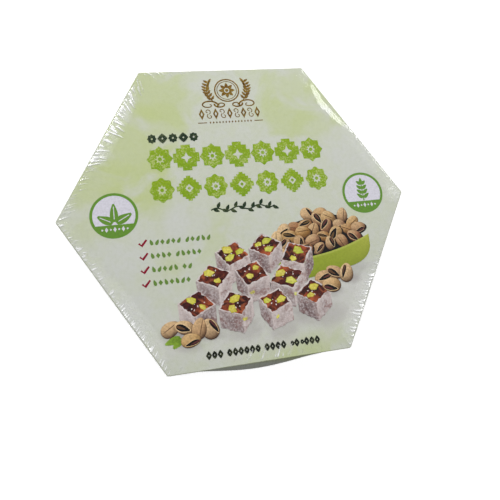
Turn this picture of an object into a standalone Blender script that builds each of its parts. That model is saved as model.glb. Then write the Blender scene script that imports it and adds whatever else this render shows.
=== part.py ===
"""A shut hexagonal sweets carton in shrink film: a lid, a filled base and the film round them.

Metres, +Z up. The carton stands on its film: z = 0 is the film's underside, and the origin
is the middle of the hexagon there. +X runs from corner to corner, -Y faces the front wall.
"""

import math

import bmesh
import bpy

# Driving sizes
SIDE = 0.080  # one side of the carton's hexagon
HEIGHT = 0.030  # the carton shut, from the base's underside to the lid's top
CARD = 0.0010  # a wall of folded card
CORNER_RADIUS = 0.0012  # of the carton's upright corners
EDGE_RADIUS = 0.0003  # of the crease round the lid's top
FRONT_BOW = 0.0041  # how far the lid's front wall bulges at its middle
BASE_SHOWS = 0.0012  # the height of base left bare under the lid's free edge
BASE_CHAMFER = 0.0008  # of the crease round the base's underside
CLEARANCE = 0.0003  # between pieces that touch
FILM = 0.0003  # the film's thickness
VENT_RADIUS = 0.0020  # the hole that lets the air out as the film shrinks
VENT_PLACE = (0.0, 0.045)

# Fineness
CORNER_STEPS = 3
FRONT_STEPS = 20
BOW_STEPS = 8
EDGE_STEPS = 2
VENT_STEPS = 16

# Worked out from the sizes above
APOTHEM = SIDE * math.cos(math.radians(30))
BASE_BOTTOM = FILM + CLEARANCE
LID_TOP = BASE_BOTTOM + HEIGHT
LID_FOOT = BASE_BOTTOM + BASE_SHOWS
FILM_TOP = LID_TOP + CLEARANCE + FILM
FRONT_WALL = 4  # counted anticlockwise from the wall that faces 30 degrees from +X


def front_bulge(height):
    """How far the front wall's middle stands out at a height: a barrel, fullest above its middle."""
    depth = (LID_TOP - height) / HEIGHT
    return FRONT_BOW * max(0.0, math.sin(math.pi * depth / 1.15))


def hexagon_loop(offset, bulge=0.0):
    """The carton's outline moved out by offset, anticlockwise, its front wall bulging by bulge."""
    radius = max(CORNER_RADIUS + offset, 0.0002)
    to_wall = APOTHEM + offset
    half_flat = (to_wall - radius) / math.sqrt(3)
    centre_reach = (to_wall - radius) / math.cos(math.radians(30))
    loop = []
    for wall in range(6):
        facing = math.radians(30 + 60 * wall)
        if wall == FRONT_WALL:
            for step in range(1, FRONT_STEPS):
                along = step / FRONT_STEPS
                out = to_wall + bulge * math.sin(math.pi * along) ** 1.5
                loop.append((half_flat * (2 * along - 1), -out))
        corner = facing + math.radians(30)
        for step in range(CORNER_STEPS + 1):
            turn = facing + math.radians(60) * step / CORNER_STEPS
            x = centre_reach * math.cos(corner) + radius * math.cos(turn)
            y = centre_reach * math.sin(corner) + radius * math.sin(turn)
            loop.append((x, y))
    return loop


def skin(name, rings):
    """A closed mesh through rings of (offset, height, bulge), filled at its first and last ring."""
    shape = bmesh.new()
    loops = []
    for offset, height, bulge in rings:
        loops.append([shape.verts.new((x, y, height)) for x, y in hexagon_loop(offset, bulge)])
    for lower, upper in zip(loops, loops[1:]):
        for index in range(len(lower)):
            following = (index + 1) % len(lower)
            shape.faces.new((lower[index], lower[following], upper[following], upper[index]))
    shape.faces.new(reversed(loops[0]))
    shape.faces.new(loops[-1])
    bmesh.ops.recalc_face_normals(shape, faces=shape.faces)
    mesh = bpy.data.meshes.new(name)
    shape.to_mesh(mesh)
    shape.free()
    piece = bpy.data.objects.new(name, mesh)
    bpy.context.scene.collection.objects.link(piece)
    return piece


def wall_rings(offset, foot, top):
    """Rings up a wall that follows the front's bulge, foot and top included."""
    heights = [foot + (top - foot) * step / BOW_STEPS for step in range(BOW_STEPS + 1)]
    return [(offset, height, front_bulge(height)) for height in heights]


def rounded_top(offset, top, radius):
    """Rings over the rounded edge between a wall and a flat top, without the wall's own ring."""
    rings = []
    for step in range(1, EDGE_STEPS + 1):
        turn = math.radians(90) * step / EDGE_STEPS
        inward = radius * (1 - math.cos(turn))
        height = top - radius + radius * math.sin(turn)
        rings.append((offset - inward, height, front_bulge(height)))
    return rings


def finish(name, colour, roughness, alpha=1.0):
    """A plain material in the piece's main colour."""
    material = bpy.data.materials.new(name)
    material.use_nodes = True
    surface = material.node_tree.nodes["Principled BSDF"]
    surface.inputs["Base Color"].default_value = (*colour, 1.0)
    surface.inputs["Roughness"].default_value = roughness
    surface.inputs["Metallic"].default_value = 0.0
    surface.inputs["Alpha"].default_value = alpha
    return material


def make_lid():
    """A card cap, open underneath, whose upright walls reach almost down to the base's foot."""
    ceiling = LID_TOP - CARD
    inside = wall_rings(-CARD, LID_FOOT, ceiling)
    inside.reverse()
    outside = wall_rings(0.0, LID_FOOT, LID_TOP - EDGE_RADIUS)
    crease = rounded_top(0.0, LID_TOP, EDGE_RADIUS)
    lid = skin("carton_lid", inside + outside + crease)
    lid.data.materials.append(finish("printed card", (0.60, 0.68, 0.42), 0.45))
    return lid


def make_base():
    """The tray inside the lid, with its filling as one solid: nothing of its inside can be seen."""
    offset = -CARD - CLEARANCE
    top = LID_TOP - CARD - CLEARANCE
    rings = [
        (offset - BASE_CHAMFER, BASE_BOTTOM, 0.0),
        (offset, BASE_BOTTOM + BASE_CHAMFER, 0.0),
        (offset, top, 0.0),
    ]
    base = skin("carton_base", rings)
    base.data.materials.append(finish("plain card", (0.80, 0.80, 0.76), 0.55))
    return base


def cutter(shape):
    """Marks a shape as a tool that only cuts."""
    shape.hide_render = True
    shape.display_type = "WIRE"
    return shape


def cut(piece, tool):
    """Takes the tool's shape out of the piece."""
    modifier = piece.modifiers.new("cut by " + tool.name, "BOOLEAN")
    modifier.operation = "DIFFERENCE"
    modifier.object = tool
    modifier.solver = "EXACT"


def film_rings(offset, foot, top):
    """The film's surface: flat under and over the carton, tight round its walls and creases."""
    edge = EDGE_RADIUS + offset
    below = [(offset - edge, foot, 0.0), (offset, foot + edge, front_bulge(foot + edge))]
    walls = wall_rings(offset, foot + edge, top - edge)[1:]
    return below + walls + rounded_top(offset, top, edge)


def make_film():
    """The clear skin round the carton, hollow, with the vent in its underside."""
    outer = CLEARANCE + FILM
    film = skin("shrink_film", film_rings(outer, 0.0, FILM_TOP))
    room = cutter(skin("room_for_carton", film_rings(CLEARANCE, FILM, FILM_TOP - FILM)))
    bpy.ops.mesh.primitive_cylinder_add(
        vertices=VENT_STEPS,
        radius=VENT_RADIUS,
        depth=4 * FILM,
        location=(*VENT_PLACE, FILM / 2),
    )
    vent = cutter(bpy.context.object)
    vent.name = "vent"
    cut(film, room)
    cut(film, vent)
    film.data.materials.append(finish("clear film", (0.95, 0.96, 0.95), 0.08, alpha=0.15))
    return film


def main():
    for leftover in list(bpy.data.objects):
        bpy.data.objects.remove(leftover)
    make_lid()
    make_base()
    make_film()


main()
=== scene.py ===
"""Dresses a hexagonal carton of nut jelly sweets: its printed card, and the shrink film round it.

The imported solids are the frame. The lid and the base keep their shapes and get their card
finishes, the print is laid on the lid as thin plates of ink, and a crinkled skin takes the
place of the plain film. Lengths are in metres, and the print's places are counted from the
middle of the lid's top, +X to the print's right and +Y to its top.
"""

import random
from math import asin, atan2, cos, hypot, pi, radians, sin, sqrt, tau

import bmesh
import bpy
import numpy as np
from bpy.props import FloatProperty, FloatVectorProperty, IntProperty, PointerProperty
from mathutils import Matrix, Vector


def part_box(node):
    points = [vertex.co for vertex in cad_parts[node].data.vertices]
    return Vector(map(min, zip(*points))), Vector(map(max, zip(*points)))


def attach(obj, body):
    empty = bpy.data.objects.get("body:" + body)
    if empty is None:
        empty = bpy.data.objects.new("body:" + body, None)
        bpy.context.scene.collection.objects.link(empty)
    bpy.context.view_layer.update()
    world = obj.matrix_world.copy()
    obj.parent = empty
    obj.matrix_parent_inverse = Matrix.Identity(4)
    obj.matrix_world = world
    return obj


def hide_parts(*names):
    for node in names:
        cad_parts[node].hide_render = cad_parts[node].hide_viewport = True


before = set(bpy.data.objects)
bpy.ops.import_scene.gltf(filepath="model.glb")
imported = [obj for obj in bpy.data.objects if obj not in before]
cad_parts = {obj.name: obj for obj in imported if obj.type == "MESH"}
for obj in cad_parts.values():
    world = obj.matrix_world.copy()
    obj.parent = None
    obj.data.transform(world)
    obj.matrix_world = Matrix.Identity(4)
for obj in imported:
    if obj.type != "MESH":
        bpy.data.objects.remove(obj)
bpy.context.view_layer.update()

bl_info = {
    "name": "Hexagonal Sweets Carton",
    "version": (1, 0, 0),
    "blender": (4, 5, 0),
    "location": "3D View > Sidebar > Sweets Carton",
    "description": "Prints a hexagonal sweets carton and wraps it in crinkled shrink film",
    "category": "Object",
}

MM = 0.001

# The carton, as the frame gives it
LID_LOW, LID_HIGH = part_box("carton_lid")
FILM_LOW, FILM_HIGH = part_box("shrink_film")
LID_TOP = LID_HIGH.z
APOTHEM = LID_HIGH.y
SIDE = APOTHEM / cos(radians(30))
CARTON_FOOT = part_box("carton_base")[0].z
CARTON_HEIGHT = LID_TOP - CARTON_FOOT
FRONT_BOW = -LID_LOW.y - APOTHEM
BOW_REACH = 1.15  # the front wall's bulge dies away this many carton heights below the lid's top
FRONT_WALL = 4  # walls are counted anticlockwise from the one that faces 30 degrees from +X
WALLS = 6
FIRST_FACING = radians(30)
WALL_TURN = radians(60)  # from one wall's facing to the next
BOW_POWER = 1.5  # of the half sine that the bulge follows along the front wall
TILE_HEIGHT = 12.3  # the upper title row as it is drawn, in millimetres


def paint(code):
    """A colour code such as "8CA52E" as the linear red, green and blue that shaders work in."""
    levels = [int(code[index : index + 2], 16) / 255 for index in (0, 2, 4)]
    return tuple(v / 12.92 if v <= 0.04045 else ((v + 0.055) / 1.055) ** 2.4 for v in levels)


def toward(first, second, share):
    """The colour or the point that lies a share of the way from the first to the second."""
    return tuple(a + (b - a) * share for a, b in zip(first, second))


def clamped(value):
    return min(1.0, max(0.0, value))


def colour_property(name, description, code):
    return FloatVectorProperty(
        name=name, description=description,
        subtype="COLOR", size=3, min=0, max=1, default=paint(code),
    )


def length_property(name, description, millimetres):
    return FloatProperty(
        name=name, description=description,
        subtype="DISTANCE", unit="LENGTH", default=millimetres * MM,
    )


def place_property(name, description, place):
    return FloatVectorProperty(
        name=name, description=description,
        subtype="TRANSLATION", unit="LENGTH", size=3, default=place,
    )


def share_property(name, description, share):
    return FloatProperty(
        name=name, description=description, subtype="FACTOR", min=0, max=1, default=share
    )


# ---------------------------------------------------------------- settings


class CardSettings(bpy.types.PropertyGroup):
    """The card's own colours: the painted wash on the lid and the bare base."""

    pale: colour_property("Pale wash", "The wash where the paint ran thin", "C5C9B9")
    green: colour_property("Green wash", "The wash where the paint pooled", "B9C488")
    cool: colour_property("Bare patches", "Patches that stayed almost unpainted", "C9CBC8")
    pool: colour_property("White pool", "The bright ground that the sweets stand on", "C9C8C4")
    shade: colour_property("Printed shade", "The soft shadows printed under the sweets", "8F8688")
    plain: colour_property("Plain card", "The unprinted base", "C9C7BE")


class PrintSettings(bpy.types.PropertyGroup):
    """The printed ornaments' inks and sizes."""

    title: colour_property("Title green", "Ink of the two rows of tiles", "7C9F0A")
    title_light: colour_property("Title light", "The tiles' upper, yellower side", "88A60E")
    dark: colour_property("Dark green", "Ink of the small row and the vine", "0F2A14")
    badge: colour_property("Badge green", "Ink of the round badges", "618D2E")
    field: colour_property("Badge field", "The pale ground inside the badges", "D2D0DA")
    list: colour_property("List green", "Ink of the rows of small leaves", "64853A")
    tick: colour_property("Tick red", "Ink of the check marks", "880028")
    weight: colour_property("Foot line", "Ink of the row at the lid's foot", "0A1408")
    gold: colour_property("Gold foil", "The foil of the rosette and its sprays", "826930")
    tile_height: length_property("Tile height", "Height of an upper title tile", TILE_HEIGHT)
    badge_radius: length_property("Badge radius", "Outer radius of a badge", 10.2)


class SweetsSettings(bpy.types.PropertyGroup):
    """The printed sweets, nuts and bowl."""

    jelly: colour_property("Jelly", "Cut face of a cube", "6E2418")
    jelly_deep: colour_property("Deep jelly", "The darkest of the cut face", "1E0508")
    jelly_clear: colour_property("Clear jelly", "Where light comes through the jelly", "B65A30")
    sugar: colour_property("Sugar", "Dusted side in the light", "CBBEBA")
    sugar_shade: colour_property("Sugar in shade", "Dusted side in the shade", "543A3C")
    kernel: colour_property("Kernel", "Cut kernels in the jelly", "CDC325")
    kernel_deep: colour_property("Kernel edge", "Skin and edge of a kernel", "7F7A22")
    shell: colour_property("Shell", "A nut's shell", "AC7444")
    shell_light: colour_property("Shell light", "The lit side of a shell", "EACB9C")
    shell_deep: colour_property("Shell shade", "The shaded rim of a shell", "3A1C10")
    gap: colour_property("Gaps", "The dark between nuts and in open shells", "080305")
    bowl: colour_property("Bowl", "The bowl's glaze", "8C9C2C")
    bowl_light: colour_property("Bowl light", "The bowl's lit rim and right side", "ABAF48")
    cube: length_property("Cube", "Edge of a printed cube", 11.7)
    nut: length_property("Nut", "Length of a printed nut", 7.7)


class FilmSettings(bpy.types.PropertyGroup):
    """The shrink film's fit and finish."""

    stand_off: length_property("Stand-off", "Gap between the walls and the film", 0.30)
    top_gap: length_property("Top gap", "Gap between the lid's top and the film", 0.23)
    edge_gap: length_property("Edge gap", "The gap over the lid's top near an edge", 0.09)
    edge_radius: length_property("Edge radius", "How tightly the film turns over an edge", 0.5)
    mirror: share_property("Mirror", "Share of light that the flat film throws back", 0.038)
    roughness: share_property("Roughness", "Roughness of the flat film's gloss", 0.08)
    columns: IntProperty(
        name="Columns", description="Points along each wall", min=20, max=310, default=296
    )


class StageSettings(bpy.types.PropertyGroup):
    """Where the camera stands over the lid, and how the pack is lit."""

    stand: place_property(
        "Camera place", "The camera from the middle of the lid's top", (-0.02796, -0.05046, 0.1688)
    )
    aim: place_property(
        "Aim", "The point on the lid's top in the middle of the view", (0.00112, -0.02063, 0.0)
    )
    roll: FloatProperty(
        name="Roll", description="Turn of the camera about its view, from the print's upright",
        subtype="ANGLE", unit="ROTATION", default=radians(-7.866),
    )
    lens: FloatProperty(name="Lens", description="Focal length in millimetres", default=27.94)
    sky: FloatProperty(name="Sky", description="Strength of the even light", default=0.14)
    floor_glow: FloatProperty(
        name="Floor glow", description="Light that the floor gives of itself", default=0.76
    )
    floor: colour_property("Floor", "The plain pale floor", "BFBFBF")


# ---------------------------------------------------------------- materials


PATCH_DEPTH = 0.2  # metres down over which a patch fades, so that it runs on over the lid's edge


class Finish:
    """A material, with short calls for building its nodes."""

    def __init__(self, name, roughness=0.5, metallic=0.0, specular=0.5):
        self.material = bpy.data.materials.new(name)
        self.material.use_nodes = True
        self.tree = self.material.node_tree
        self.surface = self.tree.nodes["Principled BSDF"]
        self.surface.inputs["Roughness"].default_value = roughness
        self.surface.inputs["Metallic"].default_value = metallic
        self.surface.inputs["Specular IOR Level"].default_value = specular
        self.place = self.node("TexCoord").outputs["Object"]

    def node(self, kind, **settings):
        made = self.tree.nodes.new("ShaderNode" + kind)
        for setting, value in settings.items():
            setattr(made, setting, value)
        return made

    def feed(self, socket, value):
        """Links a socket to another, or sets its number, point or colour."""
        if isinstance(value, bpy.types.NodeSocket):
            self.tree.links.new(value, socket)
        elif socket.type == "RGBA":
            socket.default_value = (*value[:3], 1.0)
        else:
            socket.default_value = value

    def drive(self, name, value):
        """Feeds one of the surface's own sockets."""
        self.feed(self.surface.inputs[name], value)

    def attribute(self, name, output="Color"):
        return self.node("Attribute", attribute_name=name).outputs[output]

    def axes(self, point):
        """A point's X, Y and Z, each by its name."""
        made = self.node("SeparateXYZ")
        self.feed(made.inputs[0], point)
        return made.outputs

    def noise(self, size, detail=2.0, distortion=0.0, at=None):
        """Noise between 0 and 1 whose blotches are about this many metres across."""
        made = self.node("TexNoise")
        self.feed(made.inputs["Vector"], at or self.place)
        made.inputs["Scale"].default_value = 1 / size
        made.inputs["Detail"].default_value = detail
        made.inputs["Distortion"].default_value = distortion
        return made.outputs["Fac"]

    def between(self, value, low, high, first=0.0, last=1.0):
        """Value read off a smooth step from first at low to last at high."""
        made = self.node("MapRange", interpolation_type="SMOOTHSTEP")
        ends = {"From Min": low, "From Max": high, "To Min": first, "To Max": last}
        for name, number in ends.items():
            made.inputs[name].default_value = number
        self.feed(made.inputs["Value"], value)
        return made.outputs["Result"]

    def maths(self, operation, first, second=None, kind="Math", output=0):
        made = self.node(kind, operation=operation)
        self.feed(made.inputs[0], first)
        if second is not None:
            self.feed(made.inputs[1], second)
        return made.outputs[output]

    def blend(self, share, first, second, mode="MIX"):
        """The first colour, with the second laid over it by its share."""
        made = self.node("Mix", data_type="RGBA", blend_type=mode)
        self.feed(made.inputs[0], share)
        self.feed(made.inputs[6], first)
        self.feed(made.inputs[7], second)
        return made.outputs[2]

    def speckle(self, colour, code, size, detail, distortion, low, high, share):
        """The colour under specks of another, as large in millimetres as size says.

        The specks start where noise is low and have their full share where it is high.
        """
        noise = self.noise(size * MM, detail, distortion)
        return self.blend(self.between(noise, low, high, 0.0, share), colour, paint(code))

    def patch(self, centre, reach, ragged):
        """0 at a point of the lid, 1 at its reach each way, with a ragged edge."""
        apart = self.maths("SUBTRACT", self.place, (*centre, LID_TOP), kind="VectorMath")
        squeezed = self.maths("DIVIDE", apart, (*reach, PATCH_DEPTH), kind="VectorMath")
        length = self.maths("LENGTH", squeezed, kind="VectorMath", output="Value")
        return self.maths("ADD", length, ragged)

    def relief(self, height, depth):
        """Bumps of a real depth in metres, from a height between 0 and 1."""
        bump = self.node("Bump")
        bump.inputs["Distance"].default_value = depth
        self.feed(bump.inputs["Height"], height)
        self.drive("Normal", bump.outputs["Normal"])

    def tooth(self, detail=3, depth=0.010 * MM):
        """The fine tooth of printed card."""
        self.relief(self.noise(0.35 * MM, detail=detail), depth)

    def colour(self, value):
        self.drive("Base Color", value)


GREEN_POOLS = (  # place, reach each way in millimetres, strength
    (-32, 58, 17, 13, 0.66), (-47, 28, 13, 20, 0.70), (-38, 8, 8, 13, 0.60),
    (27, 44, 11, 10, 0.62), (32, 58, 12, 9, 0.45), (13, 67, 11, 5, 0.25),
    (-60, 17, 12, 10, 0.60), (-30, 42, 9, 10, 0.55), (-34, -24, 7, 8, 0.35),
    (-14, -18, 6, 7, 0.35), (24, -64, 15, 5, 0.42), (41, 40, 8, 7, 0.40),
    (-10, -4, 5, 5, 0.28), (55, 43, 4, 6, 0.50), (50, 52, 5, 6, 0.55),
    (45, 60, 5, 6, 0.50), (-66, -3, 8, 6, 0.32), (57, -4, 5, 6, 0.20),
    (4, -66, 14, 4, 0.35), (18, -69, 11, 5, 0.60),
)
BARE_PATCHES = (
    (-30, -4, 7, 9, 0.60), (-52, -21, 10, 7, 0.60), (60, 20, 10, 13, 0.50),
    (-4, 46, 7, 5, 0.50), (-14, 63, 6, 5, 0.40), (50, -40, 9, 10, 0.60),
    (-50, -44, 9, 8, 0.65),
)
WHITE_POOLS = ((2, -50, 34, 13, 0.80), (38, -42, 15, 9, 0.80))
CUBE_SHADE = (1.5, -7.0, 8.6, 4.2, 0.30)  # aside and up from what casts it, reach, strength
NUT_SHADE = (1.0, -2.5, 4.4, 2.2, 0.35)
BOWL_SHADE = (8.0, -12.5, 17.0, 4.0, 0.35)
# how strongly shade is painted on the rounded fold round the lid's top
EDGE_SHADE_STRENGTH = 0.62


def shade_under(things, shade):
    """Spots of shade under things that stand at the places which their first two values give."""
    aside, up, *rest = shade
    return [(x + aside, y + up, *rest) for x, y, *_ in things]


def painted_wash(card):
    """Printed card under a watercolour wash that pooled green in places and ran thin in others."""
    finish = Finish("painted_wash", specular=0.2)
    cloud = finish.noise(20 * MM, detail=7, distortion=1.1)
    edge = finish.noise(5 * MM, detail=6, distortion=0.7)
    ragged = finish.between(cloud, 0.25, 0.75, -0.6, 0.6)
    colour = finish.blend(finish.between(edge, 0.36, 0.66, 0.0, 0.5), card.pale, card.cool)
    for spots, tint, softness in (
        (GREEN_POOLS, card.green, 0.50),
        (BARE_PATCHES, card.cool, 0.45),
        (WHITE_POOLS, card.pool, 0.60),
        (shade_under(CUBES, CUBE_SHADE), card.shade, 0.60),
        (shade_under(LOOSE_NUTS, NUT_SHADE), card.shade, 0.60),
        (shade_under([BOWL_MIDDLE], BOWL_SHADE), card.shade, 0.60),
    ):
        for x, y, across, along, strength in spots:
            reach = finish.patch(place_of(x, y), place_of(across, along), ragged)
            share = finish.between(reach, 1.0 - softness, 1.0 + softness, strength, 0.0)
            colour = finish.blend(share, colour, tint)
    colour = finish.speckle(colour, "848A6C", 0.5, 3, 0.0, 0.25, 0.75, 0.09)
    colour = finish.speckle(colour, "8F9C5A", 1.8, 5, 0.0, 0.4, 0.7, 0.08)
    # Painted shade: the card's colour darkens to olive on the rounded fold round the lid's top.
    edge_shade = finish.maths("MULTIPLY", painted_edge_shade(finish), EDGE_SHADE_STRENGTH)
    finish.colour(finish.blend(edge_shade, colour, paint("7F8560")))
    finish.drive("Roughness", finish.between(edge, 0.3, 0.7, 0.42, 0.56))
    finish.tooth(detail=4, depth=0.012 * MM)
    return finish.material


def painted_edge_shade(finish):
    """1 on the rounded fold round the lid's top, where shade is painted into the card as a darker
    olive.
    """
    place = finish.axes(finish.place)
    across = None
    for wall in range(WALLS // 2):  # opposite walls share one distance
        facing = FIRST_FACING + WALL_TURN * wall
        along_x = finish.maths("MULTIPLY", place["X"], cos(facing))
        along_y = finish.maths("MULTIPLY", place["Y"], sin(facing))
        reach = finish.maths("ABSOLUTE", finish.maths("ADD", along_x, along_y))
        across = finish.maths("MAXIMUM", across, reach) if wall else reach
    near_wall = finish.between(across, APOTHEM - 0.45 * MM, APOTHEM - 0.15 * MM)
    near_top = finish.between(place["Z"], LID_TOP - 0.5 * MM, LID_TOP - 0.2 * MM)
    return finish.maths("MULTIPLY", near_wall, near_top)


def plain_card(card):
    """Unprinted folding boxboard: grey-white, with specks of fibre."""
    finish = Finish("plain_card", roughness=0.62, specular=0.25)
    fibres = finish.noise(1.1 * MM, detail=5, distortion=1.5)
    streaks = finish.between(fibres, 0.3, 0.7, 0.0, 0.35)
    colour = finish.blend(streaks, card.plain, paint("ACA999"))
    finish.colour(finish.speckle(colour, "857C66", 0.6, 2, 0.0, 0.66, 0.74, 0.5))
    finish.relief(fibres, 0.02 * MM)
    return finish.material


INK_ROUGHNESS = 0.5


def printed_ink(name, wear=0.0, grain=0.10):
    """Ink in each plate's own colour, a little uneven, with pale specks where it is worn."""
    finish = Finish(name, specular=0.2)
    mottle = finish.noise(0.8 * MM, detail=4)
    dark = finish.between(mottle, 0.35, 0.7, 0.0, 2.2 * grain)
    colour = finish.blend(dark, finish.attribute("ink"), paint("4A4A30"), mode="MULTIPLY")
    if wear:
        scratched = finish.noise(0.62 * MM, detail=5, distortion=0.5)
        region = finish.between(finish.noise(5 * MM, detail=2), 0.35, 0.65, -0.09, 0.05)
        worn = finish.between(finish.maths("ADD", scratched, region), 0.50, 0.62, 0.0, wear)
        colour = finish.blend(worn, colour, paint("C0C884"))
    finish.colour(colour)
    rough = finish.between(mottle, 0.3, 0.7, INK_ROUGHNESS - 0.05, INK_ROUGHNESS + 0.1)
    finish.drive("Roughness", rough)
    finish.tooth()
    return finish.material


SUGAR_SPECKS = (  # colour, size, detail, distortion, the noise they start and end at, share
    ("7A504A", 3.4, 6, 0.8, 0.48, 0.68, 0.60),  # bare, redder spots
    ("D3CBCC", 0.8, 5, 0.0, 0.45, 0.65, 0.42),  # grains
    ("64494A", 0.7, 4, 0.4, 0.54, 0.70, 0.35),  # pits
)
JELLY_SPECKS = (
    ("1C0507", 4.0, 4, 1.6, 0.44, 0.62, 0.85),  # deep streaks
    ("B2603A", 3.4, 3, 0.9, 0.50, 0.70, 0.55),  # clear streaks
    ("BFA59C", 0.7, 3, 0.0, 0.62, 0.74, 0.22),  # a dusting of sugar
)


def speckled_ink(name, specks, roughness, specular):
    """Ink in each plate's own colour, under several kinds of specks."""
    finish = Finish(name, roughness=roughness, specular=specular)
    colour = finish.attribute("ink")
    for speck in specks:
        colour = finish.speckle(colour, *speck)
    finish.colour(colour)
    finish.tooth()
    return finish.material


def gold_foil(settings):
    """Hot-stamped foil, dull in places where the card's tooth shows through."""
    finish = Finish("gold_foil", metallic=1.0)
    cloud = finish.noise(2.4 * MM, detail=4, distortion=0.6)
    shine = finish.between(cloud, 0.38, 0.62)
    finish.colour(finish.blend(shine, paint("644A20"), settings.gold))
    finish.drive("Roughness", finish.between(cloud, 0.3, 0.7, 0.50, 0.34))
    finish.relief(finish.noise(0.6 * MM, detail=3), 0.03 * MM)
    return finish.material


EDGE_GLOSS = 0.22  # share of light that the film throws back where it is drawn over an edge
PLEAT_STRETCH = (1.0, 0.13, 1.0)  # draws the noise out along the pleats


def clear_film(settings):
    """Clear shrink film: a thin mirror that light passes through, milky along its creases; the
    milky white is partly whitened film and partly painted highlight.
    """
    finish = Finish("clear_film", metallic=1.0)
    crease = finish.attribute("crease", "Fac")
    haze = finish.attribute("haze", "Fac")
    pleat = finish.attribute("pleat", "Vector")
    over = finish.axes(pleat)["Y"]  # distance over the edge, negative on top
    drawn_out = finish.maths("MULTIPLY", pleat, PLEAT_STRETCH, kind="VectorMath")
    fine = finish.noise(0.9 * MM, detail=3, distortion=0.5, at=drawn_out)
    mottled = finish.noise(1.6 * MM, detail=4, distortion=0.8)

    over_top = finish.between(over, -0.9 * MM, -0.4 * MM, settings.mirror, 0.0)
    over_edge = finish.between(over, 0.0, 0.25 * MM, 0.0, EDGE_GLOSS)
    down_wall = finish.between(over, 0.6 * MM, 1.6 * MM, 1.0, settings.mirror / EDGE_GLOSS)
    gloss = finish.maths("MAXIMUM", over_top, finish.maths("MULTIPLY", over_edge, down_wall))
    # Painted highlight in part: along creases and clouded patches the film turns opaque and white,
    # standing in for glints as well as for whitened film.
    folded = finish.maths("MULTIPLY", crease, finish.between(fine, 0.32, 0.54, 0.42, 1.0))
    haze_milk_and_sheen = finish.maths("MULTIPLY", haze, finish.between(mottled, 0.36, 0.62, 0.06, 0.34))
    finish.drive("Alpha", finish.maths("ADD", gloss, finish.maths("ADD", folded, haze_milk_and_sheen)))
    finish.colour((0.97, 0.98, 0.97))

    # Where milky, the film turns from mirror to diffuse white: in part the painted highlight on its
    # pleats.
    milky_and_glint = finish.maths("MAXIMUM", crease, haze)
    finish.drive("Metallic", finish.between(milky_and_glint, 0.0, 0.30, 1.0, 0.12))
    dull_crease = finish.maths("MULTIPLY", crease, 0.04)
    dull = finish.maths("ADD", dull_crease, finish.maths("MULTIPLY", haze, 0.22))
    finish.drive("Roughness", finish.maths("ADD", dull, settings.roughness))

    waves = finish.maths("MULTIPLY", finish.noise(18 * MM, detail=1), 0.30)
    gathered = finish.maths("MAXIMUM", finish.maths("MULTIPLY", crease, 0.22), haze)
    puckers = finish.maths("MULTIPLY", finish.maths("MULTIPLY", fine, gathered), 0.85)
    finish.relief(finish.maths("ADD", puckers, waves), 0.34 * MM)
    return finish.material


# ---------------------------------------------------------------- outlines


def turned(points, angle, centre=(0.0, 0.0)):
    """Points turned about the origin, then moved to a centre."""
    c, s = cos(angle), sin(angle)
    return [(x * c - y * s + centre[0], x * s + y * c + centre[1]) for x, y in points]


def moved(points, centre):
    return [(x + centre[0], y + centre[1]) for x, y in points]


def scaled(points, share, centre=(0.0, 0.0)):
    return [toward(centre, point, share) for point in points]


def middle_of(points):
    return tuple(sum(values) / len(points) for values in zip(*points))


def around(radius, angle, centre=(0.0, 0.0)):
    """The point at a radius and an angle about a centre."""
    return (centre[0] + radius * cos(angle), centre[1] + radius * sin(angle))


def shares(steps):
    """Evenly spaced shares from 0 to 1."""
    return [step / steps for step in range(steps + 1)]


def circle(radius, steps=48):
    return [around(radius, tau * step / steps) for step in range(steps)]


def star(tips, waist):
    """A star at size 1 whose notches lie at its waist, one tip pointing up."""
    return [
        around(waist if step % 2 else 1.0, radians(90) + pi * step / tips)
        for step in range(2 * tips)
    ]


def mirrored_quarter(quarter):
    """A closed outline from its quarter, which runs from near +X to near +Y."""
    left = [(-x, y) for x, y in reversed(quarter)]
    lower = [(-x, -y) for x, y in quarter]
    right = [(x, -y) for x, y in reversed(quarter)]
    return quarter + left + lower + right


def stepped_block(notch=0.36, shoulder=0.74):
    """A square block whose corners are cut back in steps."""
    corner = [(shoulder, notch), (shoulder, shoulder), (notch, shoulder)]
    return mirrored_quarter([(1.0, notch), *corner, (notch, 1.0)])


def stepped_lozenge(stairs=(1.0, 0.8, 0.6, 0.38, 0.17), rises=(0.2, 0.44, 0.66, 0.84, 1.0)):
    """A lozenge whose sides climb in four steps."""
    quarter = []
    for index, (stair, rise) in enumerate(zip(stairs, rises)):
        if index:
            quarter.append((stair, rises[index - 1]))
        quarter.append((stair, rise))
    return mirrored_quarter(quarter)


def finer(outline, steps):
    """The same outline with more points along each of its edges."""
    points = []
    for start, end in zip(outline, outline[1:] + outline[:1]):
        points += [toward(start, end, step / steps) for step in range(steps)]
    return points


def fitted(outline, half_width, half_height, centre):
    """An outline drawn about the origin at size 1, stretched and moved into its place."""
    return [(centre[0] + x * half_width, centre[1] + y * half_height) for x, y in outline]


def lobed(lobes, depth, steps=64):
    """A round outline at size 1 with soft lobes."""
    angles = [tau * step / steps for step in range(steps)]
    return [around(1 - depth + depth * cos(lobes * angle), angle) for angle in angles]


def lozenge(half_width, half_height):
    return [(half_width, 0.0), (0.0, half_height), (-half_width, 0.0), (0.0, -half_height)]


def leaf_sides(length, width, bend=0.0, steps=10):
    """The two long sides of a leaf that grows along +X from the origin, its middle bent aside."""
    sides = ([], [])
    for along in shares(steps):
        half = width / 2 * sin(pi * along**0.8) * (1 - 0.25 * along)
        middle = leaf_middle(along, bend)
        sides[0].append((length * along, middle + half))
        sides[1].append((length * along, middle - half))
    return sides


def leaf_middle(along, bend):
    """How far a bent leaf's middle lies aside, along it from 0 to 1."""
    return bend * sin(pi * along / 2) ** 2


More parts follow.
